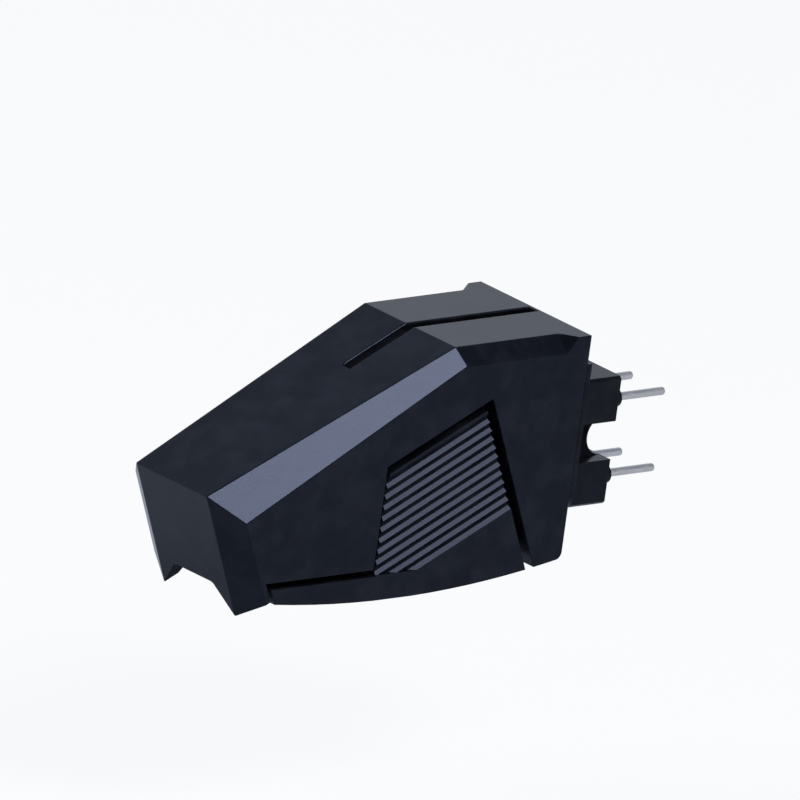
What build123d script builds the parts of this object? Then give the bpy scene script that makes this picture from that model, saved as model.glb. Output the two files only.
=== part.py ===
from build123d import *
import os
from math import cos, radians, sin, sqrt, tan

# Plug-in phono cartridge. Everything is drawn in millimetres from the middle of the body's rear top edge:
# +X points back along the pins, +Z up, and left is -Y. At the end all pieces move together, so that the
# origin is the middle of the four pins, where they leave their collars.

# Body
body_width = 12.5
body_length = 33.0
flat_length = 12.0
slope_angle = 24.45
top_bevel = 1.15
slope_bevel_lean = 1.16
front_top_width = 7.9
corner_depth = 1.3
bevel_run_out = 2.2
bevel_end_slant = 1.0
fang_drop = 10.5
fang_side_drop = 9.45
arch_drop = 8.2
arch_top_width = 4.2
arch_corner_radius = 0.5
groove_width = 0.85
groove_depth = 0.55
groove_slope_length = 6.2
groove_end_wall = 0.3
top_wall = 1.2
front_wall = 1.7
cavity_width = 8.0
cavity_floor_wall = 0.6
floor_lip_length = 4.05
rear_corner_radius = 0.6

# Curve of the underside, shared by the body and the stylus holder
belly_front_back = 5.6
belly_front_z = -17.6
belly_low_back = 19.0
belly_low_z = -18.33
belly_rear_z = -16.95

# Stylus holder and its seat in the body
skirt_line_z = -15.97
skirt_gap = 0.51
skirt_front_depth = 1.76
skirt_front_gap = 0.28
seat_left_back = 15.05
seat_top_drop = 4.94
rear_block_length = 3.2
seat_pocket_depth = 1.4
grip_left_gap = 0.28
grip_top_gap = 0.62
grip_rear_gap = 0.71
grip_side_gap = 0.12
rib_count = 11
rib_first_drop = 5.83
rib_pitch = 0.757
rib_step = 0.06
rib_valley = 0.45
rib_depth = 0.25
rib_crest_inset = 0.03
rib_foot = 0.1
fork_width = 6.0
fork_rear_back = 13.8
boss_width = 2.9
boss_length = 5.8
boss_top_z = -14.3
rim_height = 1.2
rim_wall = 0.8
rim_rear_gap = 0.8

# Terminal block and pins
pin_pitch_across = 3.6
pin_pitch_up = 5.8
pin_centre_drop = 9.8
pin_diameter = 0.6
pin_root_diameter = 0.8
pin_length = 4.5
pin_tail = 4.2
pin_point = 0.15
collar_diameter = 1.4
collar_length = 0.6
plug_length = 6.6
plug_width = 5.6
plug_height = 9.7
plug_bevel = 0.2
notch_diameter = 2.9
web_width = 3.2
flange_thickness = 0.4
flange_above = 7.6
flange_below = 3.75
flange_corner_radius = 1.4
spigot_length = 1.8
spigot_margin = 0.3
spigot_side_margin = 2.65
spigot_clearance = 0.04

# Generator: cores, coils, screen and cradle
core_thickness = 1.0
core_bar = 1.0
core_offset = 2.25
core_yoke_x = -9.1
core_upper_z = -7.6
core_lower_z = -12.6
pole_front_back = 10.85
pole_spacing = 2.2
pole_end_z = -17.5
bobbin_clearance = 0.03
bobbin_wall = 0.25
bobbin_flange = 0.3
coil_diameter = 3.2
cradle_length = 2.0
cradle_rear_x = -12.2
cradle_top_z = -5.5
cradle_bottom_z = -13.9
cradle_clearance = 0.04
screen_thickness = 0.3
screen_front_back = 15.6
screen_rear_x = -6.6
screen_top_z = -6.3
lead_diameter = 0.24
lead_bend = 0.5
lead_offset = 1.2

# Stylus: cantilever, suspension, magnets and tip
pivot_back = 13.4
pivot_z = -17.4
cantilever_angle = 21.4
cantilever_length = 6.4
cantilever_diameter = 0.6
cantilever_bore = 0.42
cantilever_solid_end = 0.7
damper_diameter = 1.5
damper_bore = 0.64
damper_thickness = 0.5
swing_gap = 0.1
tube_diameter = 1.5
tube_bore = 0.9
tube_length = 4.4
tube_bore_lead = 1.5
tie_wire_diameter = 0.2
tie_wire_reach = 0.9
tie_plug_length = 0.8
carrier_length = 1.5
carrier_diameter = 1.3
magnet_diameter = 0.7
magnet_start = 0.5
magnet_length = 1.3
magnet_angle = 45.0
carrier_arm_diameter = 1.0
carrier_arm_length = 1.0
tip_shank_diameter = 0.26
tip_shank_top = 0.1
tip_length = 0.9
tip_cone = 0.4
tip_point_diameter = 0.08
tip_setback = 0.35
screw_diameter = 0.9
screw_length = 1.3
screw_slot = 0.18
screw_slot_depth = 0.25
screw_place = 2.4

half_width = body_width / 2
front_x = -body_length
slope = radians(slope_angle)
slope_drop = (body_length - flat_length) * tan(slope)
slope_length = (body_length - flat_length) / cos(slope)
front_bevel = (body_width - front_top_width) / 2
# Longer than anything here, for tools that cut right through
far = 4 * body_length

along_slope = Vector(cos(slope), 0, sin(slope))
slope_normal = Vector(-sin(slope), 0, cos(slope))
front_edge = Vector(front_x, 0, -slope_drop)
# Looking back at the front face: across, and up square to the slope
front_plane = Plane(origin=front_edge, x_dir=(0, 1, 0), z_dir=along_slope)
# Looking down on the slope: back along the slope, and across
slope_plane = Plane(origin=front_edge, x_dir=along_slope, z_dir=slope_normal)


def slope_point(back, down):
    """Side-view point this far back along the slope from the front edge and this far down square to it."""
    point = front_edge + along_slope * back - slope_normal * down
    return (point.X, point.Z)


def line_at_height(back, height):
    """Side-view point where the line square to the slope, this far back along it, crosses a height."""
    down = (front_edge.Z + back * sin(slope) - height) / cos(slope)
    return slope_point(back, down)


def under_slope(x, down):
    """Side-view point at x on the line that runs this far below the slope."""
    return (x, (x + flat_length) * tan(slope) - down / cos(slope))


def side_solid(points, width):
    """Prism of a side-view outline, as wide as given and centred on the middle plane."""
    return extrude(Plane.XZ * make_face(Polyline(*points, close=True)), width / 2, both=True)


def block(x, y, z):
    """Box between pairs of limits."""
    size = [high - low for low, high in (x, y, z)]
    middle = [(low + high) / 2 for low, high in (x, y, z)]
    return Pos(*middle) * Box(*size)


def rod(start, direction, length, diameter):
    """Round bar from a point along a direction."""
    return extrude(Plane(origin=start, z_dir=direction) * Circle(diameter / 2), length)


# Space above the curved underside, open at the front where the fangs reach below it
belly_front_x = front_x + belly_front_back
belly_low = (front_x + belly_low_back, belly_low_z)
belly_line = [
    Line((-far, -far), (belly_front_x, -far)),
    Line((belly_front_x, -far), (belly_front_x, belly_front_z)),
    ThreePointArc((belly_front_x, belly_front_z), belly_low, (0, belly_rear_z)),
    Line((0, belly_rear_z), (far, belly_rear_z)),
    Line((far, belly_rear_z), (far, far)),
    Line((far, far), (-far, far)),
    Line((-far, far), (-far, -far)),
]
above_belly = extrude(Plane.XZ * make_face(belly_line), body_width, both=True)

# Body shell: side view first, then the facets, the groove, the arch, the seat and the cavity
seat_left_x = front_x + seat_left_back
rear_block_front = Vector(-rear_block_length, 0, skirt_line_z)
seat_rear_depth = along_slope.dot(rear_block_front - front_edge)
well_rear_depth = seat_rear_depth - floor_lip_length
skirt_front = line_at_height(skirt_front_depth, skirt_line_z)
skirt_rear = line_at_height(seat_rear_depth, skirt_line_z)
rear_block_low = line_at_height(seat_rear_depth, belly_low_z)
side_view = [
    (0, 0),
    (-flat_length, 0),
    slope_point(0, 0),
    slope_point(0, fang_drop),
    slope_point(skirt_front_depth, fang_drop),
    skirt_front,
    skirt_rear,
    rear_block_low,
    (0, belly_low_z),
]
body = side_solid(side_view, body_width) & above_belly
rear_low_edge = body.edges().filter_by(Axis.Y).group_by(Axis.X)[-1].sort_by(Axis.Z)[0]
body = fillet(rear_low_edge, rear_corner_radius)

corner_cut = Polyline(
    (0, front_top_width / 2),
    (corner_depth, half_width),
    (corner_depth, body_width),
    (-corner_depth, body_width),
    (-corner_depth, front_top_width / 2 - front_bevel),
    close=True,
)
corner_tool = extrude(slope_plane * make_face(corner_cut), far, both=True)
ridge_corner = Vector(-flat_length, half_width - top_bevel, 0)
front_corner = front_edge + Vector(0, front_top_width / 2, 0)
slope_bevel_across = Vector(0, 1, -slope_bevel_lean)
slope_bevel = Plane(origin=ridge_corner, z_dir=slope_bevel_across.cross(front_corner - ridge_corner))
slope_bevel_tool = extrude(slope_bevel * Rectangle(far, far), half_width)
flat_bevel = Polyline(
    (half_width - top_bevel, 0),
    (half_width + top_bevel, 0),
    (half_width + top_bevel, -top_bevel),
    (half_width, -top_bevel),
    close=True,
)
bevel_end = Plane(
    origin=(-bevel_run_out, half_width - top_bevel, 0),
    z_dir=Vector(0, 1, -1).cross(Vector(bevel_end_slant, top_bevel, 0)),
)
flat_bevel_tool = extrude(Plane.YZ * make_face(flat_bevel), -flat_length - top_bevel)
flat_bevel_tool = split(flat_bevel_tool, bisect_by=bevel_end, keep=Keep.BOTTOM)
for tool in (corner_tool, slope_bevel_tool, flat_bevel_tool):
    body -= [tool, mirror(tool, Plane.XZ)]

groove_back = slope_length - groove_slope_length
groove_view = [
    (-groove_end_wall, top_wall),
    (-groove_end_wall, -groove_depth),
    (-flat_length, -groove_depth),
    slope_point(groove_back, groove_depth),
    slope_point(groove_back, -top_wall),
    (-flat_length, top_wall),
]
body -= side_solid(groove_view, groove_width)

arch_half = arch_top_width / 2
fang_half = front_top_width / 2
apron = Polyline(
    (-body_width, -fang_side_drop),
    (-half_width, -fang_side_drop),
    (-fang_half, -fang_drop),
    (-arch_half, -arch_drop),
    (arch_half, -arch_drop),
    (fang_half, -fang_drop),
    (half_width, -fang_side_drop),
    (body_width, -fang_side_drop),
    (body_width, -far),
    (-body_width, -far),
    close=True,
)
apron_face = make_face(apron)
arch_corners = apron_face.vertices().group_by(Axis.Y)[-1]
apron_face = fillet(arch_corners, arch_corner_radius)
apron_reach = skirt_front_depth + skirt_front_gap
body -= extrude(front_plane * apron_face, apron_reach, both=True)

seat_view = [
    (seat_left_x, -far),
    under_slope(seat_left_x, seat_top_drop),
    slope_point(seat_rear_depth, seat_top_drop),
    line_at_height(seat_rear_depth, -far),
]
seat_floor = half_width - seat_pocket_depth
body -= side_solid(seat_view, far) - side_solid(seat_view, 2 * seat_floor)

# The cavity is open below, where the holder closes it, and behind, where the terminal block closes it
flange_top = -pin_centre_drop + flange_above
flange_bottom = -pin_centre_drop - flange_below
opening_top = flange_top - spigot_margin
opening_bottom = flange_bottom + spigot_margin
opening_half = half_width - spigot_side_margin
cavity_floor_z = skirt_line_z + cavity_floor_wall
cavity_view = [
    (-spigot_length, -top_wall),
    (-flat_length + top_wall * tan(slope / 2), -top_wall),
    slope_point(front_wall, top_wall),
    line_at_height(front_wall, -far),
    line_at_height(well_rear_depth, -far),
    line_at_height(well_rear_depth, cavity_floor_z),
    (-spigot_length, cavity_floor_z),
]
body -= side_solid(cavity_view, cavity_width)
body -= block((-spigot_length * 2, top_wall), (-opening_half, opening_half), (opening_bottom, opening_top))

# Terminal block: flange, spigot, and a plug of two bars on a web with a half-round screw notch
plug_half = plug_width / 2
bar_outer = plug_height / 2
notch_radius = notch_diameter / 2
plug_section = Polyline(
    (-plug_half, notch_radius),
    (-plug_half, bar_outer - plug_bevel),
    (-plug_half + plug_bevel, bar_outer),
    (plug_half - plug_bevel, bar_outer),
    (plug_half, bar_outer - plug_bevel),
    (plug_half, notch_radius),
    close=True,
)
plug_plane = Plane(origin=(0, 0, -pin_centre_drop), x_dir=(0, 1, 0), z_dir=(1, 0, 0))
bar = extrude(plug_plane * make_face(plug_section), plug_length)
lower_bar = mirror(bar, Plane.XY.offset(-pin_centre_drop))
web_half = web_width / 2
web_low = -pin_centre_drop - notch_radius
web = block((0, plug_length), (-web_half, web_half), (web_low, web_low + notch_diameter))
notch = Pos(plug_length, 0, -pin_centre_drop) * Rot(90, 0, 0) * Cylinder(notch_radius, body_width)
flange = block((0, flange_thickness), (-half_width, half_width), (flange_bottom, flange_top))
flange = fillet(flange.edges().filter_by(Axis.X).group_by(Axis.Z)[0], flange_corner_radius)
spigot_half = opening_half - spigot_clearance
spigot = block(
    (-spigot_length, 0),
    (-spigot_half, spigot_half),
    (opening_bottom + spigot_clearance, opening_top - spigot_clearance),
)
terminal_block = flange + spigot + bar + lower_bar + (web - notch)

pins = {}
collar_end = plug_length + collar_length
for up, up_name in ((1, "upper"), (-1, "lower")):
    for side, side_name in ((-1, "left"), (1, "right")):
        place = Vector(0, side * pin_pitch_across / 2, -pin_centre_drop + up * pin_pitch_up / 2)
        terminal_block += rod(place + Vector(plug_length, 0, 0), (1, 0, 0), collar_length, collar_diameter)
        tail = place - Vector(pin_tail, 0, 0)
        pin_root = rod(tail, (1, 0, 0), pin_tail + collar_end, pin_root_diameter)
        terminal_block -= pin_root
        pin = pin_root + rod(place + Vector(collar_end, 0, 0), (1, 0, 0), pin_length, pin_diameter)
        point_edge = pin.edges().sort_by(Axis.X)[-1]
        pins[f"pin_{up_name}_{side_name}"] = chamfer(point_edge, pin_point)

# Stylus holder: curved base plate with two ribbed grips, a fork for the cantilever and a boss for its tube
plate_top = skirt_line_z - skirt_gap
gap_back = skirt_front_depth + skirt_front_gap
grip_back = seat_rear_depth - grip_rear_gap
plate_view = [
    line_at_height(gap_back, plate_top),
    line_at_height(grip_back, plate_top),
    line_at_height(grip_back, belly_low_z),
    line_at_height(gap_back, belly_low_z),
]
holder = side_solid(plate_view, body_width)
grip_left_x = seat_left_x + grip_left_gap
grip_drop = seat_top_drop + grip_top_gap
grip_view = [
    (grip_left_x, belly_low_z),
    under_slope(grip_left_x, grip_drop),
    slope_point(grip_back, grip_drop),
    line_at_height(grip_back, belly_low_z),
]
grip_inner = seat_floor + grip_side_gap
holder += side_solid(grip_view, body_width) - side_solid(grip_view, 2 * grip_inner)
holder = holder & above_belly
# Ribs are saw teeth: each steps in to a narrow flat, then leans out again as it goes down
rib_crest = half_width - rib_crest_inset
tooth_points = []
for tooth in range(rib_count):
    top = rib_first_drop + tooth * rib_pitch
    tooth_points.append((rib_crest, -top))
    tooth_points.append((rib_crest - rib_depth, -top - rib_step))
    tooth_points.append((rib_crest - rib_depth, -top - rib_step - rib_valley))
last_drop = rib_first_drop + rib_count * rib_pitch
tooth_points.append((rib_crest, -last_drop))
tooth_points.append((body_width, -last_drop))
tooth_points.append((body_width, -rib_first_drop))
teeth = extrude(front_plane * make_face(Polyline(*tooth_points, close=True)), body_length)
teeth = teeth & block((-body_length, 0), (0, body_width), (plate_top + rib_foot, 0))
holder -= [teeth, mirror(teeth, Plane.XZ)]
# A rim inside the body's walls guides the holder and closes the gap from view
fork_rear_x = front_x + fork_rear_back
rim_back = well_rear_depth - rim_rear_gap
rim_top = plate_top + rim_height
rim_width = cavity_width - 2 * grip_side_gap
rim_view = [
    line_at_height(gap_back, plate_top),
    line_at_height(rim_back, plate_top),
    line_at_height(rim_back, rim_top),
    line_at_height(gap_back, rim_top),
]
holder += side_solid(rim_view, rim_width) - side_solid(rim_view, rim_width - 2 * rim_wall)
holder -= block((-far, fork_rear_x), (-fork_width / 2, fork_width / 2), (-far, 0))

# Stylus: everything is placed along the cantilever's own line through its pivot
lean = radians(cantilever_angle)
pivot = Vector(front_x + pivot_back, 0, pivot_z)
forward = Vector(-cos(lean), 0, -sin(lean))
upward = Vector(-sin(lean), 0, cos(lean))


def on_cantilever(ahead, above=0.0):
    """Point this far ahead of the pivot along the cantilever and this far above its line."""
    return pivot + forward * ahead + upward * above


tube_front = -damper_thickness / 2 - swing_gap
boss = block(
    (fork_rear_x, fork_rear_x + boss_length),
    (-boss_width / 2, boss_width / 2),
    (plate_top, boss_top_z),
)
holder += boss
bore_front = on_cantilever(tube_front + tube_bore_lead)
holder -= rod(bore_front, -forward, tube_bore_lead + tube_length, tube_diameter)
screw_foot = on_cantilever(tube_front - screw_place, tube_diameter / 2)
holder -= rod(on_cantilever(tube_front - screw_place), upward, body_width, screw_diameter)
suspension_tube = rod(on_cantilever(tube_front), -forward, tube_length, tube_diameter)
suspension_tube -= rod(on_cantilever(tube_front), -forward, tube_length - tie_plug_length, tube_bore)
suspension_tube -= rod(on_cantilever(tube_front), -forward, tube_length, tie_wire_diameter)
tie_wire_length = tube_length - tube_front + tie_wire_reach
tie_wire = rod(on_cantilever(tube_front - tube_length), forward, tie_wire_length, tie_wire_diameter)
set_screw = rod(screw_foot, upward, screw_length, screw_diameter)
slot_plane = Plane(origin=screw_foot + upward * screw_length, x_dir=(0, 1, 0), z_dir=-upward)
set_screw -= extrude(slot_plane * Rectangle(far, screw_slot), screw_slot_depth)

damper_front = damper_thickness / 2
damper_ring = rod(on_cantilever(-damper_front), forward, damper_thickness, damper_diameter)
damper_ring -= rod(on_cantilever(-damper_front), forward, damper_thickness, damper_bore)

cantilever_rear = damper_front + swing_gap
cantilever_span = cantilever_length - cantilever_rear
cantilever = rod(on_cantilever(cantilever_rear), forward, cantilever_span, cantilever_diameter)
hollow_span = cantilever_span - cantilever_solid_end
cantilever -= rod(on_cantilever(cantilever_rear), forward, hollow_span, cantilever_bore)
tip_ahead = cantilever_length - tip_setback
tip_top = cantilever_diameter / 2 + tip_shank_top
shank_length = tip_length - tip_cone + tip_top
stylus_tip = rod(on_cantilever(tip_ahead, tip_top), -upward, shank_length, tip_shank_diameter)
cone_plane = Plane(origin=on_cantilever(tip_ahead, tip_top - shank_length), z_dir=-upward)
cone_ends = [
    cone_plane * Circle(tip_shank_diameter / 2),
    cone_plane.offset(tip_cone) * Circle(tip_point_diameter / 2),
]
stylus_tip += loft(cone_ends)
cantilever -= rod(on_cantilever(tip_ahead, tip_top), -upward, shank_length, tip_shank_diameter)

magnet_place = on_cantilever(cantilever_rear + carrier_length / 2)
magnet_carrier = rod(on_cantilever(cantilever_rear), forward, carrier_length, carrier_diameter)
magnets = {}
for side, side_name in ((-1, "left"), (1, "right")):
    turn = radians(magnet_angle)
    magnet_axis = upward * cos(turn) + Vector(0, side * sin(turn), 0)
    magnet_carrier += rod(magnet_place, magnet_axis, carrier_arm_length, carrier_arm_diameter)
    magnets[f"magnet_{side_name}"] = rod(
        magnet_place + magnet_axis * magnet_start, magnet_axis, magnet_length, magnet_diameter
    )
for magnet in magnets.values():
    magnet_carrier -= magnet
magnet_carrier -= rod(on_cantilever(cantilever_rear), forward, carrier_length, cantilever_diameter)

# Generator: one core, bobbin, coil and pair of leads on each side
bar_half = core_bar / 2
pole_front_x = front_x + pole_front_back
pole_rear_x = pole_front_x + pole_spacing
core_view = [
    (core_yoke_x + bar_half, core_upper_z + bar_half),
    (pole_front_x - bar_half, core_upper_z + bar_half),
    (pole_front_x - bar_half, pole_end_z),
    (pole_front_x + bar_half, pole_end_z),
    (pole_front_x + bar_half, core_upper_z - bar_half),
    (core_yoke_x - bar_half, core_upper_z - bar_half),
    (core_yoke_x - bar_half, core_lower_z + bar_half),
    (pole_rear_x - bar_half, core_lower_z + bar_half),
    (pole_rear_x - bar_half, pole_end_z),
    (pole_rear_x + bar_half, pole_end_z),
    (pole_rear_x + bar_half, core_lower_z - bar_half),
    (core_yoke_x + bar_half, core_lower_z - bar_half),
]
core_right = Pos(0, core_offset, 0) * side_solid(core_view, core_thickness)
bobbin_bottom = core_lower_z + bar_half + bobbin_clearance
bobbin_top = core_upper_z - bar_half - bobbin_clearance
bobbin_hole = core_bar + 2 * bobbin_clearance
bobbin_core = bobbin_hole * sqrt(2) + 2 * bobbin_wall
bobbin_axis = Vector(core_yoke_x, core_offset, bobbin_bottom)
bobbin_height = bobbin_top - bobbin_bottom
winding_height = bobbin_height - 2 * bobbin_flange
winding_foot = bobbin_axis + Vector(0, 0, bobbin_flange)
bobbin_right = rod(bobbin_axis, (0, 0, 1), bobbin_height, coil_diameter)
bobbin_right -= rod(winding_foot, (0, 0, 1), winding_height, coil_diameter)
bobbin_right += rod(bobbin_axis, (0, 0, 1), bobbin_height, bobbin_core)
bobbin_right -= extrude(Plane(origin=bobbin_axis) * Rectangle(bobbin_hole, bobbin_hole), bobbin_height)
coil_right = rod(winding_foot, (0, 0, 1), winding_height, coil_diameter)
coil_right -= rod(winding_foot, (0, 0, 1), winding_height, bobbin_core)

leads_right = []
for up, bobbin_face in ((1, bobbin_top), (-1, bobbin_bottom)):
    lead_z = -pin_centre_drop + up * pin_pitch_up / 2
    lead_y = pin_pitch_across / 2
    lead_start = (-pin_tail, lead_y, lead_z)
    lead_corner = (core_yoke_x + lead_offset, lead_y, lead_z)
    lead_end = (core_yoke_x + lead_offset, lead_y, bobbin_face)
    route = FilletPolyline(lead_start, lead_corner, lead_end, radius=lead_bend)
    section = Plane(origin=lead_start, z_dir=(-1, 0, 0)) * Circle(lead_diameter / 2)
    leads_right.append(sweep(section, path=route))
leads_right = Compound(leads_right)

cradle_front_x = cradle_rear_x - cradle_length
cradle_half = cavity_width / 2 - cradle_clearance
cradle = block((cradle_front_x, cradle_rear_x), (-cradle_half, cradle_half), (cradle_bottom_z, cradle_top_z))
slot_width = core_thickness + 2 * bobbin_clearance
core_slot = block(
    (cradle_front_x, cradle_rear_x),
    (core_offset - slot_width / 2, core_offset + slot_width / 2),
    (cradle_bottom_z, core_upper_z + bar_half + bobbin_clearance),
)
screen_half = screen_thickness / 2
screen_slot = block(
    (cradle_front_x, cradle_rear_x),
    (-screen_half - bobbin_clearance, screen_half + bobbin_clearance),
    (cradle_bottom_z, screen_top_z),
)
generator_carrier = cradle - [core_slot, mirror(core_slot, Plane.XZ), screen_slot]
shield_plate = block(
    (front_x + screen_front_back, screen_rear_x),
    (-screen_half, screen_half),
    (cradle_bottom_z, screen_top_z),
)

pieces = {
    "body_shell": body,
    "terminal_block": terminal_block,
    **pins,
    "generator_carrier": generator_carrier,
    "shield_plate": shield_plate,
    "stylus_holder": holder,
    "suspension_tube": suspension_tube,
    "set_screw": set_screw,
    "tie_wire": tie_wire,
    "damper_ring": damper_ring,
    "cantilever": cantilever,
    "magnet_carrier": magnet_carrier,
    **magnets,
    "stylus_tip": stylus_tip,
}
channel = {"core": core_right, "bobbin": bobbin_right, "coil": coil_right, "leads": leads_right}
for name, piece in channel.items():
    pieces[f"{name}_right"] = piece
    pieces[f"{name}_left"] = mirror(piece, Plane.XZ)

to_pin_frame = Pos(-collar_end, 0, pin_centre_drop)
os.makedirs("parts", exist_ok=True)
for name, piece in pieces.items():
    export_step(to_pin_frame * piece, f"parts/{name}.step")
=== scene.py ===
import math

import bmesh
import bpy
from mathutils import Matrix, Vector


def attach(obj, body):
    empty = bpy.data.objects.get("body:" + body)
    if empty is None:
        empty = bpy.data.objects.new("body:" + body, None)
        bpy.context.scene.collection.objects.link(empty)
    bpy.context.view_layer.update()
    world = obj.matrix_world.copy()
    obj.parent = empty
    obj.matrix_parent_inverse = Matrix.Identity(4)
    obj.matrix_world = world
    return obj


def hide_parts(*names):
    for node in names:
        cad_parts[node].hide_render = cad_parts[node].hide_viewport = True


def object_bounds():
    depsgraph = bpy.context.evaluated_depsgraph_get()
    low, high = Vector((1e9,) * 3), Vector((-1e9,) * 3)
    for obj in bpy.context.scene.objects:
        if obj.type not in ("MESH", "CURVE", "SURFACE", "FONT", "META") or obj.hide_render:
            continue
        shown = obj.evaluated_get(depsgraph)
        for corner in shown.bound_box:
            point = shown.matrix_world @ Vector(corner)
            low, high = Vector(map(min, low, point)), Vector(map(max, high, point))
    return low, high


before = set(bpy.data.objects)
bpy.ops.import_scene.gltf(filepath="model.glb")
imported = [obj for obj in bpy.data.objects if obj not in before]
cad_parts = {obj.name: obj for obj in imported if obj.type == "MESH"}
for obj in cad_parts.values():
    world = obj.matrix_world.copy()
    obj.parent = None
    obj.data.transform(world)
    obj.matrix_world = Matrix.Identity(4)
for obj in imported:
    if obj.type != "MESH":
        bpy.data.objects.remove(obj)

cad_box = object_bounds()

# Body shell. The wedge-shaped housing that everything else sits in, moulded in one shot from black
# styrene with a satin skin. Its edges leave the mould a little rounded and get polished by handling.
body_edge_radius = 0.00012
shell_edge_turn = 12.0
groove_edge_radius = 0.00028
groove_reach = 0.00045
groove_lowest = 0.007
body_black = (0.0018, 0.0021, 0.0028, 1.0)
body_black_worn = (0.0023, 0.0026, 0.0034, 1.0)
body_edge_grey = (0.0060, 0.0065, 0.0082, 1.0)
body_rough = (0.22, 0.26)
body_grain_depth = 0.000012
satin_gloss = 0.155
satin_tint = (0.58, 0.67, 1.0, 1.0)
matt_roughness = 0.95
inside_facing = 0.4
inside_reach = 0.001


def add_node(tree, kind, **inputs):
    """Adds a node and sets its inputs, whose names are given with underscores for spaces."""
    node = tree.nodes.new(kind)
    for name, value in inputs.items():
        node.inputs[name.replace("_", " ")].default_value = value
    return node


def rounded_copy(node_name, radius, turn=30.0, soft_radius=0.0, is_soft=None):
    """Copy of a CAD solid with flat faces joined, outer edges rounded and marked, and inner edges left sharp.
    Outer edges that turn by more than so many degrees are rounded. Those that is_soft picks by their two ends
    get the softer radius."""
    weld_distance = 1e-6
    flat_turn = math.radians(0.3)
    rounding_steps = 3
    end_length = 3.0 * radius
    long_length = 3.0 * end_length
    widest = max(radius, soft_radius)
    shape = bmesh.new()
    shape.from_mesh(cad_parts[node_name].data)
    bmesh.ops.remove_doubles(shape, verts=shape.verts, dist=weld_distance)
    bmesh.ops.dissolve_limit(shape, angle_limit=flat_turn, verts=shape.verts, edges=shape.edges)
    sharpness = shape.edges.layers.float.new("bevel_weight_edge")
    for edge in shape.edges:
        bend = math.degrees(edge.calc_face_angle_signed(0.0))
        edge.smooth = bend > -turn
        if bend > turn:
            soft = is_soft is not None and is_soft(edge.verts[0].co, edge.verts[1].co)
            edge[sharpness] = (soft_radius if soft else radius) / widest
    # A cut near each end of a long edge keeps its corners from bending the shading along the whole edge
    for edge in [edge for edge in shape.edges if edge[sharpness] > 0.0]:
        if edge.calc_length() > long_length:
            for end in list(edge.verts):
                bmesh.utils.edge_split(edge, end, end_length / edge.calc_length())
    mesh = bpy.data.meshes.new(node_name + "_rounded")
    shape.to_mesh(mesh)
    shape.free()
    # The shading kept from the solid doesn't fit the rounded edges
    if mesh.has_custom_normals:
        mesh.attributes.remove(mesh.attributes["custom_normal"])
    mesh.materials.clear()
    for face in mesh.polygons:
        face.use_smooth = True
        face.material_index = 0
    piece = bpy.data.objects.new(node_name + "_piece", mesh)
    bpy.context.scene.collection.objects.link(piece)
    rounding = piece.modifiers.new("rounding", "BEVEL")
    rounding.width = widest
    rounding.segments = rounding_steps
    rounding.limit_method = "WEIGHT"
    rounding.use_clamp_overlap = True
    rounding.harden_normals = True
    rounding.material = 1
    # Two empty slots let the rounding mark its own faces
    mesh.materials.append(None)
    mesh.materials.append(None)
    finished = bpy.data.meshes.new_from_object(piece.evaluated_get(bpy.context.evaluated_depsgraph_get()))
    piece.modifiers.clear()
    piece.data = finished
    bpy.data.meshes.remove(mesh)
    finished.name = node_name + "_mesh"
    on_edge = [0.0] * len(finished.vertices)
    for face in finished.polygons:
        if face.material_index == 1:
            for corner in face.vertices:
                on_edge[corner] = 1.0
        face.material_index = 0
    edge_mark = finished.attributes.new("rounded_edge", "FLOAT", "POINT")
    edge_mark.data.foreach_set("value", on_edge)
    finished.materials.clear()
    return piece


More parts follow.
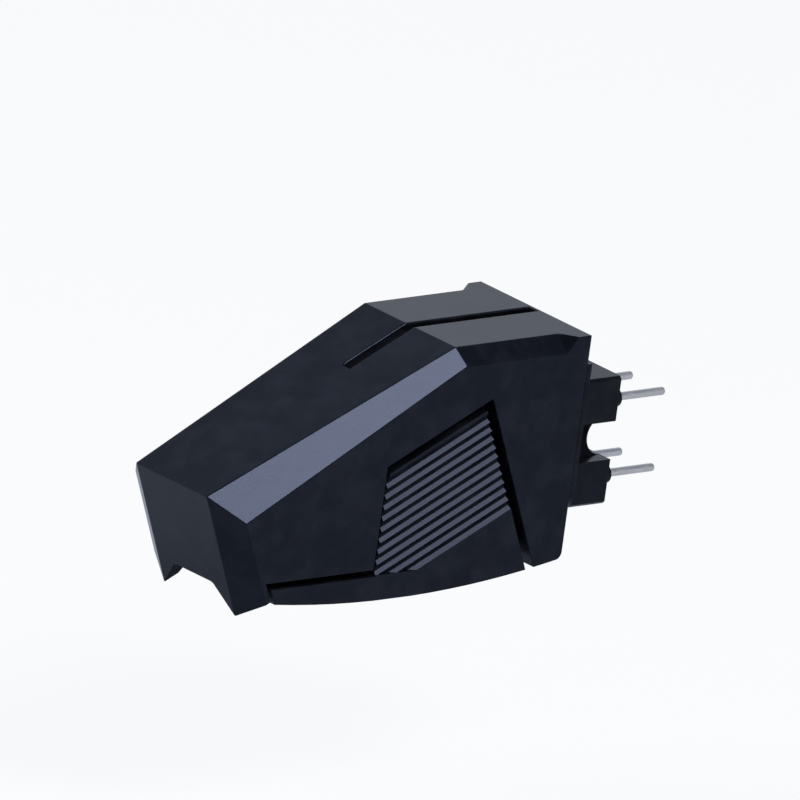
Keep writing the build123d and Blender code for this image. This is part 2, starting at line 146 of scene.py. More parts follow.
def moulded_skin_group():
    """Satin skin of a moulding: fine grain, slow mottle, streaks, rubbed patches on edges and matt faces."""
    group = bpy.data.node_groups.new("moulded_skin", "ShaderNodeTree")
    for name, value in (("Grain Scale", 9000.0), ("Rough Low", 0.28), ("Rough High", 0.4)):
        group.interface.new_socket(name, in_out="INPUT", socket_type="NodeSocketFloat").default_value = value
    for name in ("Mottle", "Roughness", "Height", "Rub"):
        group.interface.new_socket(name, in_out="OUTPUT", socket_type="NodeSocketFloat")
    given = group.nodes.new("NodeGroupInput")
    result = group.nodes.new("NodeGroupOutput")
    place = group.nodes.new("ShaderNodeTexCoord")
    link = group.links.new
    grain = add_node(group, "ShaderNodeTexNoise", Detail=2.0, Roughness=0.6)
    link(place.outputs["Object"], grain.inputs["Vector"])
    link(given.outputs["Grain Scale"], grain.inputs["Scale"])
    mottle = add_node(group, "ShaderNodeTexNoise", Scale=420.0, Detail=4.0, Roughness=0.62)
    link(place.outputs["Object"], mottle.inputs["Vector"])
    # Streaks run along the length, as a cloth or a finger leaves them
    stretch = add_node(group, "ShaderNodeMapping", Scale=(260.0, 2600.0, 2600.0))
    link(place.outputs["Object"], stretch.inputs["Vector"])
    streaks = add_node(group, "ShaderNodeTexNoise", Scale=1.0, Detail=3.0, Roughness=0.55)
    link(stretch.outputs["Vector"], streaks.inputs["Vector"])
    blend = add_node(group, "ShaderNodeMix", Factor=0.45)
    link(mottle.outputs["Fac"], blend.inputs["A"])
    link(streaks.outputs["Fac"], blend.inputs["B"])
    spread = add_node(group, "ShaderNodeMapRange", From_Min=0.2, From_Max=0.8)
    link(blend.outputs["Result"], spread.inputs["Value"])
    link(given.outputs["Rough Low"], spread.inputs["To Min"])
    link(given.outputs["Rough High"], spread.inputs["To Max"])
    matt = group.nodes.new("ShaderNodeAttribute")
    matt.attribute_name = "matt_face"
    matted = add_node(group, "ShaderNodeMix", B=matt_roughness)
    link(matt.outputs["Fac"], matted.inputs["Factor"])
    link(spread.outputs["Result"], matted.inputs["A"])
    edge = group.nodes.new("ShaderNodeAttribute")
    edge.attribute_name = "rounded_edge"
    patches = add_node(group, "ShaderNodeMapRange", From_Min=0.42, From_Max=0.66)
    link(mottle.outputs["Fac"], patches.inputs["Value"])
    rub = group.nodes.new("ShaderNodeMath")
    rub.operation = "MULTIPLY"
    link(edge.outputs["Fac"], rub.inputs[0])
    link(patches.outputs["Result"], rub.inputs[1])
    link(blend.outputs["Result"], result.inputs["Mottle"])
    link(matted.outputs["Result"], result.inputs["Roughness"])
    link(grain.outputs["Fac"], result.inputs["Height"])
    link(rub.outputs["Value"], result.inputs["Rub"])
    return group


moulded_skin = moulded_skin_group()


def moulded_plastic(name, tones, rough, grain_depth, gloss=0.5, gloss_tint=(1.0, 1.0, 1.0, 1.0)):
    """Moulded plastic: two close tones and a third on rubbed edges, a range of roughness and a fine grain."""
    material = bpy.data.materials.new(name)
    material.use_nodes = True
    tree = material.node_tree
    link = tree.links.new
    surface = tree.nodes["Principled BSDF"]
    surface.inputs["Specular IOR Level"].default_value = gloss
    surface.inputs["Specular Tint"].default_value = gloss_tint
    skin = tree.nodes.new("ShaderNodeGroup")
    skin.node_tree = moulded_skin
    skin.inputs["Rough Low"].default_value = rough[0]
    skin.inputs["Rough High"].default_value = rough[1]
    tone = add_node(tree, "ShaderNodeMix")
    tone.data_type = "RGBA"
    tone.inputs["A"].default_value = tones[0]
    tone.inputs["B"].default_value = tones[1]
    link(skin.outputs["Mottle"], tone.inputs["Factor"])
    rubbed = tree.nodes.new("ShaderNodeMix")
    rubbed.data_type = "RGBA"
    rubbed.inputs["B"].default_value = tones[2]
    link(tone.outputs["Result"], rubbed.inputs["A"])
    link(skin.outputs["Rub"], rubbed.inputs["Factor"])
    link(rubbed.outputs["Result"], surface.inputs["Base Color"])
    link(skin.outputs["Roughness"], surface.inputs["Roughness"])
    bump = add_node(tree, "ShaderNodeBump", Strength=0.1, Distance=grain_depth)
    link(skin.outputs["Height"], bump.inputs["Height"])
    link(bump.outputs["Normal"], surface.inputs["Normal"])
    return material


def leave_matt(piece, is_matt):
    """Marks the faces that the mould leaves matt, which is_matt picks by their place and direction."""
    mark = piece.data.attributes.new("matt_face", "FLOAT", "FACE")
    mark.data.foreach_set("value", [float(is_matt(face.center, face.normal)) for face in piece.data.polygons])


def put_on(piece, material, body, slot, *nodes):
    """Gives a finished piece its material and its body, and hides the CAD nodes it stands for. The slot,
    which would name its finish, is not used.
    """
    piece.data.materials.clear()
    piece.data.materials.append(material)
    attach(piece, body)
    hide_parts(*nodes)


def along_groove(start, end):
    """Whether an edge between these two points runs along the groove in the body's top."""
    on_one_side = start.y * end.y > 0.0
    near_middle = max(abs(start.y), abs(end.y)) < groove_reach
    return on_one_side and near_middle and min(start.z, end.z) > groove_lowest


def inside_wall(place, facing):
    """Whether a face lies on the inner side of one of the body's walls."""
    return facing.y * place.y < 0.0 and abs(facing.y) > inside_facing and abs(place.y) > inside_reach


body_plastic = moulded_plastic(
    "body_plastic", (body_black, body_black_worn, body_edge_grey), body_rough, body_grain_depth,
    satin_gloss, satin_tint,
)
body_shell = rounded_copy("body_shell", body_edge_radius, shell_edge_turn, groove_edge_radius, along_groove)
leave_matt(body_shell, inside_wall)
put_on(body_shell, body_plastic, "cartridge_body", "body_plastic", "body_shell")

# Terminal block. The plug that goes into the arm's socket: flange, two bars and a web with a half-round
# notch for the cross screw, moulded in black around the pins and glued into the body's rear opening.
block_edge_radius = 0.00005
block_black = (0.0019, 0.0021, 0.0026, 1.0)
block_black_worn = (0.0024, 0.0026, 0.0032, 1.0)
block_edge_grey = (0.0055, 0.0058, 0.0070, 1.0)
block_rough = (0.22, 0.28)
block_grain_depth = 0.000010
block_gloss = 0.11
block_tint = (0.75, 0.82, 1.0, 1.0)
web_reach = 0.0017
web_facing = 0.9


def on_web(place, facing):
    """Whether a face lies on a side of the block's web."""
    return abs(facing.y) > web_facing and abs(place.y) < web_reach


terminal_plastic = moulded_plastic(
    "terminal_plastic", (block_black, block_black_worn, block_edge_grey), block_rough, block_grain_depth,
    block_gloss, block_tint,
)
terminal_block = rounded_copy("terminal_block", block_edge_radius, shell_edge_turn)
leave_matt(terminal_block, on_web)
put_on(terminal_block, terminal_plastic, "cartridge_body", "terminal_plastic", "terminal_block")

# Contact pins. Four turned brass pins, nickel plated, with a thicker root that the block is moulded
# around and a rounded point. They stand two above two, at the pitch of the arm's contact sleeves.
pin_pitch_across = 0.0036
pin_pitch_up = 0.0058
pin_radius = 0.0003
pin_root_radius = 0.0004
pin_length = 0.0045
pin_root_length = 0.0114
pin_point_radius = 0.00016
pin_point_steps = 6
pin_sides = 32
pin_bright = (0.62, 0.58, 0.53, 1.0)
pin_dull = (0.46, 0.43, 0.39, 1.0)
pin_rough = (0.24, 0.4)
pin_line_depth = 0.000006


def turned(name, profile, sides):
    """Mesh of a turned piece: a profile of (x, radius) points spun about the X axis."""
    weld_distance = 1e-7
    sharp_turn = math.radians(40.0)
    shape = bmesh.new()
    points = [shape.verts.new((x, radius, 0.0)) for x, radius in profile]
    edges = [shape.edges.new(pair) for pair in zip(points, points[1:])]
    bmesh.ops.spin(
        shape, geom=points + edges, cent=(0, 0, 0), axis=(1, 0, 0), dvec=(0, 0, 0),
        angle=math.tau, steps=sides, use_duplicate=False,
    )
    bmesh.ops.remove_doubles(shape, verts=shape.verts, dist=weld_distance)
    bmesh.ops.recalc_face_normals(shape, faces=shape.faces)
    mesh = bpy.data.meshes.new(name)
    shape.to_mesh(mesh)
    shape.free()
    mesh.shade_smooth()
    mesh.set_sharp_from_angle(angle=sharp_turn)
    return mesh


pin_profile = [
    (-pin_root_length, 0.0),
    (-pin_root_length, pin_root_radius),
    (0.0, pin_root_radius),
    (0.0, pin_radius),
]
for step in range(pin_point_steps + 1):
    angle = math.radians(90.0) * step / pin_point_steps
    reach = pin_length - pin_point_radius + pin_point_radius * math.sin(angle)
    pin_profile.append((reach, pin_radius - pin_point_radius + pin_point_radius * math.cos(angle)))
pin_profile.append((pin_length, 0.0))
one_pin = bpy.data.objects.new("one_pin", turned("one_pin", pin_profile, pin_sides))


def drawn_metal_group():
    """Bright drawn or turned metal: fine lines along X, slow tarnish and small changes of gloss."""
    group = bpy.data.node_groups.new("drawn_metal", "ShaderNodeTree")
    for name, value in (("Line Scale", 14000.0), ("Rough Low", 0.2), ("Rough High", 0.36)):
        group.interface.new_socket(name, in_out="INPUT", socket_type="NodeSocketFloat").default_value = value
    for name in ("Tarnish", "Roughness", "Height"):
        group.interface.new_socket(name, in_out="OUTPUT", socket_type="NodeSocketFloat")
    given = group.nodes.new("NodeGroupInput")
    result = group.nodes.new("NodeGroupOutput")
    place = group.nodes.new("ShaderNodeTexCoord")
    link = group.links.new
    stretch = add_node(group, "ShaderNodeMapping", Scale=(0.04, 1.0, 1.0))
    link(place.outputs["Object"], stretch.inputs["Vector"])
    lines = add_node(group, "ShaderNodeTexNoise", Detail=2.0, Roughness=0.7)
    link(stretch.outputs["Vector"], lines.inputs["Vector"])
    link(given.outputs["Line Scale"], lines.inputs["Scale"])
    tarnish = add_node(group, "ShaderNodeTexNoise", Scale=900.0, Detail=3.0, Roughness=0.6)
    link(place.outputs["Object"], tarnish.inputs["Vector"])
    gloss = add_node(group, "ShaderNodeMapRange", From_Min=0.3, From_Max=0.7)
    link(tarnish.outputs["Fac"], gloss.inputs["Value"])
    link(given.outputs["Rough Low"], gloss.inputs["To Min"])
    link(given.outputs["Rough High"], gloss.inputs["To Max"])
    link(tarnish.outputs["Fac"], result.inputs["Tarnish"])
    link(gloss.outputs["Result"], result.inputs["Roughness"])
    link(lines.outputs["Fac"], result.inputs["Height"])
    return group


drawn_metal = drawn_metal_group()


def bright_metal(name, clean, dull, rough, line_depth):
    """Metal with fine drawing lines and a little tarnish."""
    material = bpy.data.materials.new(name)
    material.use_nodes = True
    tree = material.node_tree
    link = tree.links.new
    surface = tree.nodes["Principled BSDF"]
    surface.inputs["Metallic"].default_value = 1.0
    lines = tree.nodes.new("ShaderNodeGroup")
    lines.node_tree = drawn_metal
    lines.inputs["Rough Low"].default_value = rough[0]
    lines.inputs["Rough High"].default_value = rough[1]
    tone = tree.nodes.new("ShaderNodeMix")
    tone.data_type = "RGBA"
    tone.inputs["A"].default_value = clean
    tone.inputs["B"].default_value = dull
    link(lines.outputs["Tarnish"], tone.inputs["Factor"])
    link(tone.outputs["Result"], surface.inputs["Base Color"])
    link(lines.outputs["Roughness"], surface.inputs["Roughness"])
    bump = add_node(tree, "ShaderNodeBump", Strength=0.2, Distance=line_depth)
    link(lines.outputs["Height"], bump.inputs["Height"])
    link(bump.outputs["Normal"], surface.inputs["Normal"])
    return material


pin_nickel = bright_metal("pin_nickel", pin_bright, pin_dull, pin_rough, pin_line_depth)


def pin_grid_tree():
    """Geometry nodes: one pin set out on a grid of two by two in the plane across X."""
    tree = bpy.data.node_groups.new("pin_grid", "GeometryNodeTree")
    tree.interface.new_socket("Geometry", in_out="INPUT", socket_type="NodeSocketGeometry")
    tree.interface.new_socket("Pitch Across", in_out="INPUT", socket_type="NodeSocketFloat")
    tree.interface.new_socket("Pitch Up", in_out="INPUT", socket_type="NodeSocketFloat")
    tree.interface.new_socket("Pin", in_out="INPUT", socket_type="NodeSocketObject")
    tree.interface.new_socket("Finish", in_out="INPUT", socket_type="NodeSocketMaterial")
    tree.interface.new_socket("Geometry", in_out="OUTPUT", socket_type="NodeSocketGeometry")
    given = tree.nodes.new("NodeGroupInput")
    result = tree.nodes.new("NodeGroupOutput")
    link = tree.links.new
    grid = add_node(tree, "GeometryNodeMeshGrid", Vertices_X=2, Vertices_Y=2)
    link(given.outputs["Pitch Up"], grid.inputs["Size X"])
    link(given.outputs["Pitch Across"], grid.inputs["Size Y"])
    upright = add_node(tree, "GeometryNodeTransform", Rotation=(0.0, math.radians(90.0), 0.0))
    link(grid.outputs["Mesh"], upright.inputs["Geometry"])
    pin = tree.nodes.new("GeometryNodeObjectInfo")
    link(given.outputs["Pin"], pin.inputs["Object"])
    set_out = tree.nodes.new("GeometryNodeInstanceOnPoints")
    link(upright.outputs["Geometry"], set_out.inputs["Points"])
    link(pin.outputs["Geometry"], set_out.inputs["Instance"])
    real = tree.nodes.new("GeometryNodeRealizeInstances")
    link(set_out.outputs["Instances"], real.inputs["Geometry"])
    plated = tree.nodes.new("GeometryNodeSetMaterial")
    link(real.outputs["Geometry"], plated.inputs["Geometry"])
    link(given.outputs["Finish"], plated.inputs["Material"])
    link(plated.outputs["Geometry"], result.inputs["Geometry"])
    return tree


def grown(name, tree, values):
    """Plain mesh object made by a geometry node tree with the named input values."""
    piece = bpy.data.objects.new(name, bpy.data.meshes.new(name + "_seed"))
    bpy.context.scene.collection.objects.link(piece)
    growth = piece.modifiers.new("growth", "NODES")
    growth.node_group = tree
    for socket in tree.interface.items_tree:
        if socket.in_out == "INPUT" and socket.name in values:
            growth[socket.identifier] = values[socket.name]
    bpy.context.view_layer.update()
    mesh = bpy.data.meshes.new_from_object(piece.evaluated_get(bpy.context.evaluated_depsgraph_get()))
    piece.modifiers.clear()
    piece.data = mesh
    mesh.name = name + "_mesh"
    return piece


contact_pins = grown("contact_pins", pin_grid_tree(), {
    "Pitch Across": pin_pitch_across, "Pitch Up": pin_pitch_up, "Pin": one_pin, "Finish": pin_nickel,
})
bpy.data.objects.remove(one_pin)
pin_nodes = [f"pin_{height}_{side}" for height in ("upper", "lower") for side in ("left", "right")]
put_on(contact_pins, pin_nickel, "cartridge_body", "pin_metal", *pin_nodes)

# Generator cradle and screen. A grey moulded cradle grips both pole cores inside the body, and a
# thin tinned steel screen slides into its middle slot to keep the two channels apart.
cradle_edge_radius = 0.00008
cradle_grey = (0.080, 0.081, 0.086, 1.0)
cradle_grey_light = (0.120, 0.121, 0.128, 1.0)
cradle_rough = (0.42, 0.55)
cradle_grain_depth = 0.000010
screen_edge_radius = 0.00003
screen_bright = (0.62, 0.62, 0.60, 1.0)
screen_dull = (0.46, 0.46, 0.45, 1.0)
screen_rough = (0.3, 0.46)
fine_line_depth = 0.000004

carrier_plastic = moulded_plastic(
    "carrier_plastic", (cradle_grey, cradle_grey_light, cradle_grey_light), cradle_rough, cradle_grain_depth
)
generator_carrier = rounded_copy("generator_carrier", cradle_edge_radius)
put_on(generator_carrier, carrier_plastic, "cartridge_body", "carrier_plastic", "generator_carrier")
screen_steel = bright_metal("screen_steel", screen_bright, screen_dull, screen_rough, fine_line_depth)
shield_plate = rounded_copy("shield_plate", screen_edge_radius)
put_on(shield_plate, screen_steel, "cartridge_body", "shield_metal", "shield_plate")

# Pole cores. Two U-shaped stacks of thin nickel iron sheets, one for each channel, whose ends stand
# beside the magnets. They are stamped, stacked on their flat sides and pressed into the cradle.
core_edge_radius = 0.00004
sheet_thickness = 0.0002
sheet_grey = (0.52, 0.52, 0.51, 1.0)
sheet_seam = (0.12, 0.12, 0.12, 1.0)
sheet_rough = (0.34, 0.5)
# A wave texture with a scale of one repeats at this distance
wave_repeat = math.tau / 20.0


def stacked_sheet(name, clean, seam, rough, thickness):
    """Stack of stamped sheets: dark seams across Y at the sheet's thickness, on drawn metal."""
    material = bright_metal(name, clean, seam, rough, fine_line_depth)
    tree = material.node_tree
    link = tree.links.new
    surface = tree.nodes["Principled BSDF"]
    place = tree.nodes.new("ShaderNodeTexCoord")
    sheets = add_node(tree, "ShaderNodeTexWave", Scale=wave_repeat / thickness, Distortion=0.0)
    sheets.bands_direction = "Y"
    link(place.outputs["Object"], sheets.inputs["Vector"])
    seams = add_node(tree, "ShaderNodeMapRange", From_Min=0.0, From_Max=0.18)
    link(sheets.outputs["Fac"], seams.inputs["Value"])
    tone = tree.nodes.new("ShaderNodeMix")
    tone.data_type = "RGBA"
    tone.inputs["A"].default_value = seam
    tone.inputs["B"].default_value = clean
    link(seams.outputs["Result"], tone.inputs["Factor"])
    link(tone.outputs["Result"], surface.inputs["Base Color"])
    return material


core_sheets = stacked_sheet("core_sheets", sheet_grey, sheet_seam, sheet_rough, sheet_thickness)
for side in ("left", "right"):
    core = rounded_copy(f"core_{side}", core_edge_radius)
    put_on(core, core_sheets, "cartridge_body", "core_metal", f"core_{side}")

# Bobbins, windings and leads. Cream moulded formers sit on the cores' rear bars, each wound full of
# enamelled copper wire, whose two ends are soldered to the tails of that channel's pins.
bobbin_edge_radius = 0.00005
bobbin_cream = (0.62, 0.54, 0.38, 1.0)
bobbin_cream_light = (0.72, 0.65, 0.48, 1.0)
bobbin_rough = (0.4, 0.5)
bobbin_grain_depth = 0.000008
coil_edge_radius = 0.00008
lead_edge_radius = 0.00003
lead_edge_turn = 50.0
wire_pitch = 0.00007
copper = (0.66, 0.27, 0.12, 1.0)
# Painted shade: a darker copper for the valleys between turns of wire
copper_groove_shade = (0.36, 0.12, 0.05, 1.0)


def wound_wire(name, turn_pitch):
    """Enamelled copper: turns of wire that show as ridges along Z under a clear coat, with painted shade in
    the valleys between turns.
    """
    material = bpy.data.materials.new(name)
    material.use_nodes = True
    tree = material.node_tree
    link = tree.links.new
    surface = tree.nodes["Principled BSDF"]
    surface.inputs["Metallic"].default_value = 1.0
    surface.inputs["Roughness"].default_value = 0.32
    surface.inputs["Coat Weight"].default_value = 0.6
    place = tree.nodes.new("ShaderNodeTexCoord")
    turns = add_node(tree, "ShaderNodeTexWave", Scale=wave_repeat / turn_pitch, Distortion=0.6, Detail=1.0)
    turns.bands_direction = "Z"
    link(place.outputs["Object"], turns.inputs["Vector"])
    # The valleys between turns get the darker copper as painted shade, and the ridges keep the copper's own
    # colour
    tone = tree.nodes.new("ShaderNodeMix")
    tone.data_type = "RGBA"
    tone.inputs["A"].default_value = copper_groove_shade
    tone.inputs["B"].default_value = copper
    link(turns.outputs["Fac"], tone.inputs["Factor"])
    link(tone.outputs["Result"], surface.inputs["Base Color"])
    bump = add_node(tree, "ShaderNodeBump", Strength=0.6, Distance=turn_pitch / 2)
    link(turns.outputs["Fac"], bump.inputs["Height"])
    link(bump.outputs["Normal"], surface.inputs["Normal"])
    return material


bobbin_plastic = moulded_plastic(
    "bobbin_plastic", (bobbin_cream, bobbin_cream_light, bobbin_cream_light), bobbin_rough, bobbin_grain_depth
)
copper_wire = wound_wire("copper_wire", wire_pitch)
for side in ("left", "right"):
    bobbin = rounded_copy(f"bobbin_{side}", bobbin_edge_radius)
    put_on(bobbin, bobbin_plastic, "cartridge_body", "bobbin_plastic", f"bobbin_{side}")
    coil = rounded_copy(f"coil_{side}", coil_edge_radius)
    put_on(coil, copper_wire, "cartridge_body", "copper_wire", f"coil_{side}")
    leads = rounded_copy(f"leads_{side}", lead_edge_radius, lead_edge_turn)
    put_on(leads, copper_wire, "cartridge_body", "copper_wire", f"leads_{side}")

# Stylus holder. The clip that carries the stylus: a curved base plate with two ribbed finger grips,
# moulded in the same black as the body, with matt grooves. It pushes up into the body and holds by friction.
holder_edge_radius = 0.00005
holder_black = (0.0018, 0.0021, 0.0028, 1.0)
holder_black_worn = (0.0024, 0.0027, 0.0035, 1.0)
holder_edge_grey = (0.0064, 0.0068, 0.0086, 1.0)
holder_rough = (0.35, 0.40)
holder_grain_depth = 0.000012
rib_root_reach = 0.00597
rib_root_slack = 0.00005


def between_ribs(place, facing):
    """Whether a face lies on the floor of a groove between two ribs."""
    return abs(abs(place.y) - rib_root_reach) < rib_root_slack


holder_plastic = moulded_plastic(
    "holder_plastic", (holder_black, holder_black_worn, holder_edge_grey), holder_rough, holder_grain_depth,
    satin_gloss, satin_tint,
)
stylus_holder = rounded_copy("stylus_holder", holder_edge_radius, shell_edge_turn)
leave_matt(stylus_holder, between_ribs)
put_on(stylus_holder, holder_plastic, "stylus_assembly", "holder_plastic", "stylus_holder")

# Suspension tube, set screw and tie wire. The brass tube slides into the holder's boss and is locked
# by a slotted steel screw. A fine steel wire through it ties the cantilever back against its ring.
tube_edge_radius = 0.00004
brass_bright = (0.78, 0.60, 0.28, 1.0)
brass_dull = (0.52, 0.38, 0.17, 1.0)
brass_rough = (0.24, 0.4)
steel_edge_radius = 0.00002
steel_bright = (0.56, 0.56, 0.55, 1.0)
steel_dull = (0.38, 0.38, 0.38, 1.0)
steel_rough = (0.28, 0.44)

tube_brass = bright_metal("tube_brass", brass_bright, brass_dull, brass_rough, fine_line_depth)
plain_steel = bright_metal("plain_steel", steel_bright, steel_dull, steel_rough, fine_line_depth)
suspension_tube = rounded_copy("suspension_tube", tube_edge_radius)
put_on(suspension_tube, tube_brass, "stylus_assembly", "tube_brass", "suspension_tube")
for piece_name in ("set_screw", "tie_wire"):
    piece = rounded_copy(piece_name, steel_edge_radius)
    put_on(piece, plain_steel, "stylus_assembly", "screw_steel", piece_name)

# Damper ring. A soft black rubber ring between the tube and the cantilever. It is both the pivot and
# the spring of the stylus, and is held only by the pull of the tie wire.
ring_edge_radius = 0.00008
rubber_black = (0.012, 0.012, 0.013, 1.0)
rubber_bloom = (0.030, 0.030, 0.032, 1.0)
rubber_rough = (0.62, 0.8)
rubber_grain_depth = 0.000010

damper_rubber = moulded_plastic(
    "damper_rubber", (rubber_black, rubber_bloom, rubber_bloom), rubber_rough, rubber_grain_depth
)
damper_ring = rounded_copy("damper_ring", ring_edge_radius)
put_on(damper_ring, damper_rubber, "suspension", "damper_rubber", "damper_ring")

# Cantilever with its magnets and tip. A drawn aluminium tube carries a small moulded block with two
# rod magnets in a V at its rear, and a ground diamond glued through its flattened front end.
arm_edge_radius = 0.00002
aluminium_bright = (0.82, 0.82, 0.83, 1.0)
aluminium_dull = (0.66, 0.66, 0.68, 1.0)
aluminium_rough = (0.22, 0.36)
magnet_grey = (0.34, 0.34, 0.36, 1.0)
magnet_dull = (0.22, 0.22, 0.24, 1.0)
magnet_rough = (0.3, 0.45)
diamond_clear = (0.80, 0.84, 0.88, 1.0)
diamond_grey = (0.62, 0.66, 0.72, 1.0)

drawn_aluminium = bright_metal(
    "drawn_aluminium", aluminium_bright, aluminium_dull, aluminium_rough, fine_line_depth
)
ground_magnet = bright_metal("ground_magnet", magnet_grey, magnet_dull, magnet_rough, fine_line_depth)


def ground_stone(name, clear, grey):
    """Ground diamond: clear, with faint grey clouds and lap marks."""
    material = bpy.data.materials.new(name)
    material.use_nodes = True
    tree = material.node_tree
    link = tree.links.new
    surface = tree.nodes["Principled BSDF"]
    surface.inputs["IOR"].default_value = 2.4
    surface.inputs["Transmission Weight"].default_value = 0.5
    place = tree.nodes.new("ShaderNodeTexCoord")
    clouds = add_node(tree, "ShaderNodeTexNoise", Scale=6000.0, Detail=3.0)
    link(place.outputs["Object"], clouds.inputs["Vector"])
    tone = tree.nodes.new("ShaderNodeMix")
    tone.data_type = "RGBA"
    tone.inputs["A"].default_value = clear
    tone.inputs["B"].default_value = grey
    link(clouds.outputs["Fac"], tone.inputs["Factor"])
    link(tone.outputs["Result"], surface.inputs["Base Color"])
    gloss = add_node(tree, "ShaderNodeMapRange", To_Min=0.05, To_Max=0.22)
    link(clouds.outputs["Fac"], gloss.inputs["Value"])
    link(gloss.outputs["Result"], surface.inputs["Roughness"])
    return material


diamond = ground_stone("diamond", diamond_clear, diamond_grey)
for piece_name, material, slot in (
    ("cantilever", drawn_aluminium, "cantilever_aluminium"),
    ("magnet_carrier", carrier_plastic, "carrier_plastic"),
    ("magnet_left", ground_magnet, "magnet_metal"),
    ("magnet_right", ground_magnet, "magnet_metal"),
    ("stylus_tip", diamond, "diamond"),
):
    piece = rounded_copy(piece_name, arm_edge_radius)
    put_on(piece, material, "cantilever_arm", slot, piece_name)

# Floor and surroundings. A pale sheet, low enough for the stylus holder to come off above it, and a white
# room around it, darker overhead, as in a small light tent with its roof left open.
floor_pale = (0.47, 0.52, 0.61, 1.0)
floor_pale_fibre = (0.50, 0.55, 0.63, 1.0)
floor_reach = 0.9
floor_sides = 96
floor_drop = 0.0145
floor_glow_seen = 0.9
floor_glow_mirrored = 0.08
room_opening = Vector((0.0, -0.25, 0.97))
room_tones = (
    (0.30, (0.79, 0.85, 0.97, 1.0)),
    (0.48, (0.40, 0.49, 0.69, 1.0)),
    (0.75, (0.24, 0.29, 0.40, 1.0)),
    (0.92, (0.06, 0.07, 0.09, 1.0)),
)

floor_mesh = bpy.data.meshes.new("floor")
floor_shape = bmesh.new()
bmesh.ops.create_circle(floor_shape, cap_ends=True, radius=floor_reach, segments=floor_sides)
floor_shape.to_mesh(floor_mesh)
floor_shape.free()
floor_mesh.transform(Matrix.Translation((0.0, 0.0, cad_box[0].z - floor_drop)))
floor = bpy.data.objects.new("floor", floor_mesh)
bpy.context.scene.collection.objects.link(floor)
paper = bpy.data.materials.new("white_paper")
paper.use_nodes = True
paper_tree = paper.node_tree
paper_surface = paper_tree.nodes["Principled BSDF"]
paper_surface.inputs["Roughness"].default_value = 0.9
paper_surface.inputs["Specular IOR Level"].default_value = 0.1
paper_fibre = add_node(paper_tree, "ShaderNodeTexNoise", Scale=300.0, Detail=4.0)
paper_tone = paper_tree.nodes.new("ShaderNodeMix")
paper_tone.data_type = "RGBA"
paper_tone.inputs["A"].default_value = floor_pale
paper_tone.inputs["B"].default_value = floor_pale_fibre
paper_tree.links.new(paper_fibre.outputs["Fac"], paper_tone.inputs["Factor"])
paper_tree.links.new(paper_tone.outputs["Result"], paper_surface.inputs["Base Color"])
paper_glow = add_node(paper_tree, "ShaderNodeEmission", Color=(1.0, 1.0, 1.0, 1.0), Strength=1.0)
paper_rays = paper_tree.nodes.new("ShaderNodeLightPath")
paper_mirrored = paper_tree.nodes.new("ShaderNodeMath")
paper_mirrored.operation = "MAXIMUM"
paper_tree.links.new(paper_rays.outputs["Is Glossy Ray"], paper_mirrored.inputs[0])
paper_tree.links.new(paper_rays.outputs["Is Transmission Ray"], paper_mirrored.inputs[1])
paper_mirrored_share = paper_tree.nodes.new("ShaderNodeMath")
paper_mirrored_share.operation = "MULTIPLY"
paper_mirrored_share.inputs[1].default_value = floor_glow_mirrored
paper_tree.links.new(paper_mirrored.outputs["Value"], paper_mirrored_share.inputs[0])
paper_share = paper_tree.nodes.new("ShaderNodeMath")
paper_share.operation = "MULTIPLY_ADD"
paper_share.inputs[1].default_value = floor_glow_seen
paper_tree.links.new(paper_rays.outputs["Is Camera Ray"], paper_share.inputs[0])
paper_tree.links.new(paper_mirrored_share.outputs["Value"], paper_share.inputs[2])
paper_mix = paper_tree.nodes.new("ShaderNodeMixShader")
paper_tree.links.new(paper_share.outputs["Value"], paper_mix.inputs["Fac"])
paper_tree.links.new(paper_surface.outputs["BSDF"], paper_mix.inputs[1])
paper_tree.links.new(paper_glow.outputs["Emission"], paper_mix.inputs[2])
paper_tree.links.new(paper_mix.outputs["Shader"], paper_tree.nodes["Material Output"].inputs["Surface"])
floor_mesh.materials.append(paper)

room = bpy.data.worlds.new("light_tent")
bpy.context.scene.world = room
room.use_nodes = True
room_tree = room.node_tree
room_tree.nodes.clear()
room_place = room_tree.nodes.new("ShaderNodeTexCoord")
room_height = room_tree.nodes.new("ShaderNodeVectorMath")
room_height.operation = "DOT_PRODUCT"
room_height.inputs[1].default_value = room_opening
room_tree.links.new(room_place.outputs["Generated"], room_height.inputs[0])
room_walls = room_tree.nodes.new("ShaderNodeValToRGB")
room_walls.color_ramp.elements.remove(room_walls.color_ramp.elements[1])
room_walls.color_ramp.elements[0].position = room_tones[0][0]
room_walls.color_ramp.elements[0].color = room_tones[0][1]
for height, room_tone in room_tones[1:]:
    room_walls.color_ramp.elements.new(height).color = room_tone
room_tree.links.new(room_height.outputs["Value"], room_walls.inputs["Fac"])
room_light = add_node(room_tree, "ShaderNodeBackground", Strength=1.0)
room_tree.links.new(room_walls.outputs["Color"], room_light.inputs["Color"])
room_out = room_tree.nodes.new("ShaderNodeOutputWorld")
room_tree.links.new(room_light.outputs["Background"], room_out.inputs["Surface"])

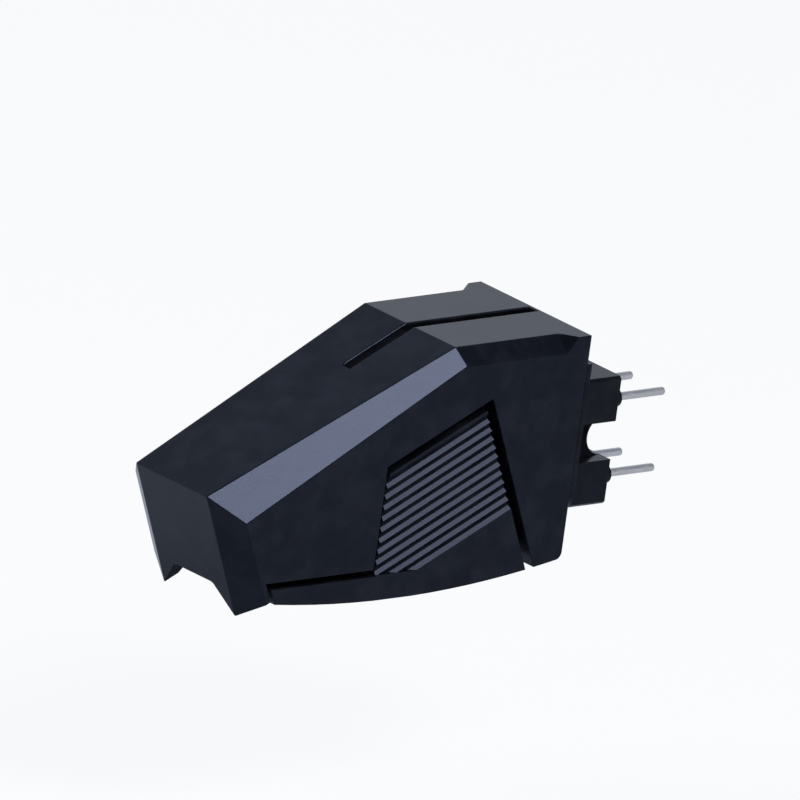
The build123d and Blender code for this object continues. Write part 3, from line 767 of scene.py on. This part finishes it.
# Lamps. A square softbox above the near side, where the sloping bevel and the ribs mirror it, and a
# weaker one beyond the nose that lights the floor in front.
softbox_towards = Vector((0.11, -0.56, 0.82)).normalized()
lamp_distance = 0.40
softbox_size = 0.134
softbox_power = 1.45
fill_towards = Vector((-0.62, 0.42, 0.66)).normalized()
fill_size = 0.20
fill_power = 0.8

object_middle = (cad_box[0] + cad_box[1]) / 2
for lamp_name, towards, size, power in (
    ("softbox", softbox_towards, softbox_size, softbox_power),
    ("fill", fill_towards, fill_size, fill_power),
):
    lamp_data = bpy.data.lights.new(lamp_name, "AREA")
    lamp_data.shape = "SQUARE"
    lamp_data.size = size
    lamp_data.energy = power
    lamp = bpy.data.objects.new(lamp_name, lamp_data)
    lamp.location = object_middle + towards * lamp_distance
    lamp.rotation_mode = "QUATERNION"
    lamp.rotation_quaternion = towards.to_track_quat("Z", "Y")
    bpy.context.scene.collection.objects.link(lamp)

# Camera. A long lens seen as parallel: from the front left, a little above, and leaning to one side.
view_azimuth = math.radians(-42.6)
view_elevation = math.radians(17.5)
view_lean = math.radians(7.95)
view_width = 0.05747
view_distance = 0.5
rear_top_corner = Vector((-0.0072, -0.00625, 0.0098))
corner_right_of_middle = 0.013815
corner_above_middle = 0.004634

camera_back = Vector((
    math.sin(view_azimuth) * math.cos(view_elevation),
    -math.cos(view_azimuth) * math.cos(view_elevation),
    math.sin(view_elevation),
))
level_right = Vector((math.cos(view_azimuth), math.sin(view_azimuth), 0.0))
level_up = camera_back.cross(level_right)
camera_right = level_right * math.cos(view_lean) + level_up * math.sin(view_lean)
camera_up = camera_back.cross(camera_right)
picture_middle = rear_top_corner - camera_right * corner_right_of_middle - camera_up * corner_above_middle
camera_data = bpy.data.cameras.new("camera")
camera_data.type = "ORTHO"
camera_data.ortho_scale = view_width
camera_data.clip_start = 0.001
camera = bpy.data.objects.new("camera", camera_data)
camera_place = picture_middle + camera_back * view_distance
camera.matrix_world = Matrix((
    (camera_right.x, camera_up.x, camera_back.x, camera_place.x),
    (camera_right.y, camera_up.y, camera_back.y, camera_place.y),
    (camera_right.z, camera_up.z, camera_back.z, camera_place.z),
    (0.0, 0.0, 0.0, 1.0),
))
bpy.context.scene.collection.objects.link(camera)
bpy.context.scene.camera = camera
bpy.context.scene.view_settings.view_transform = "Standard"
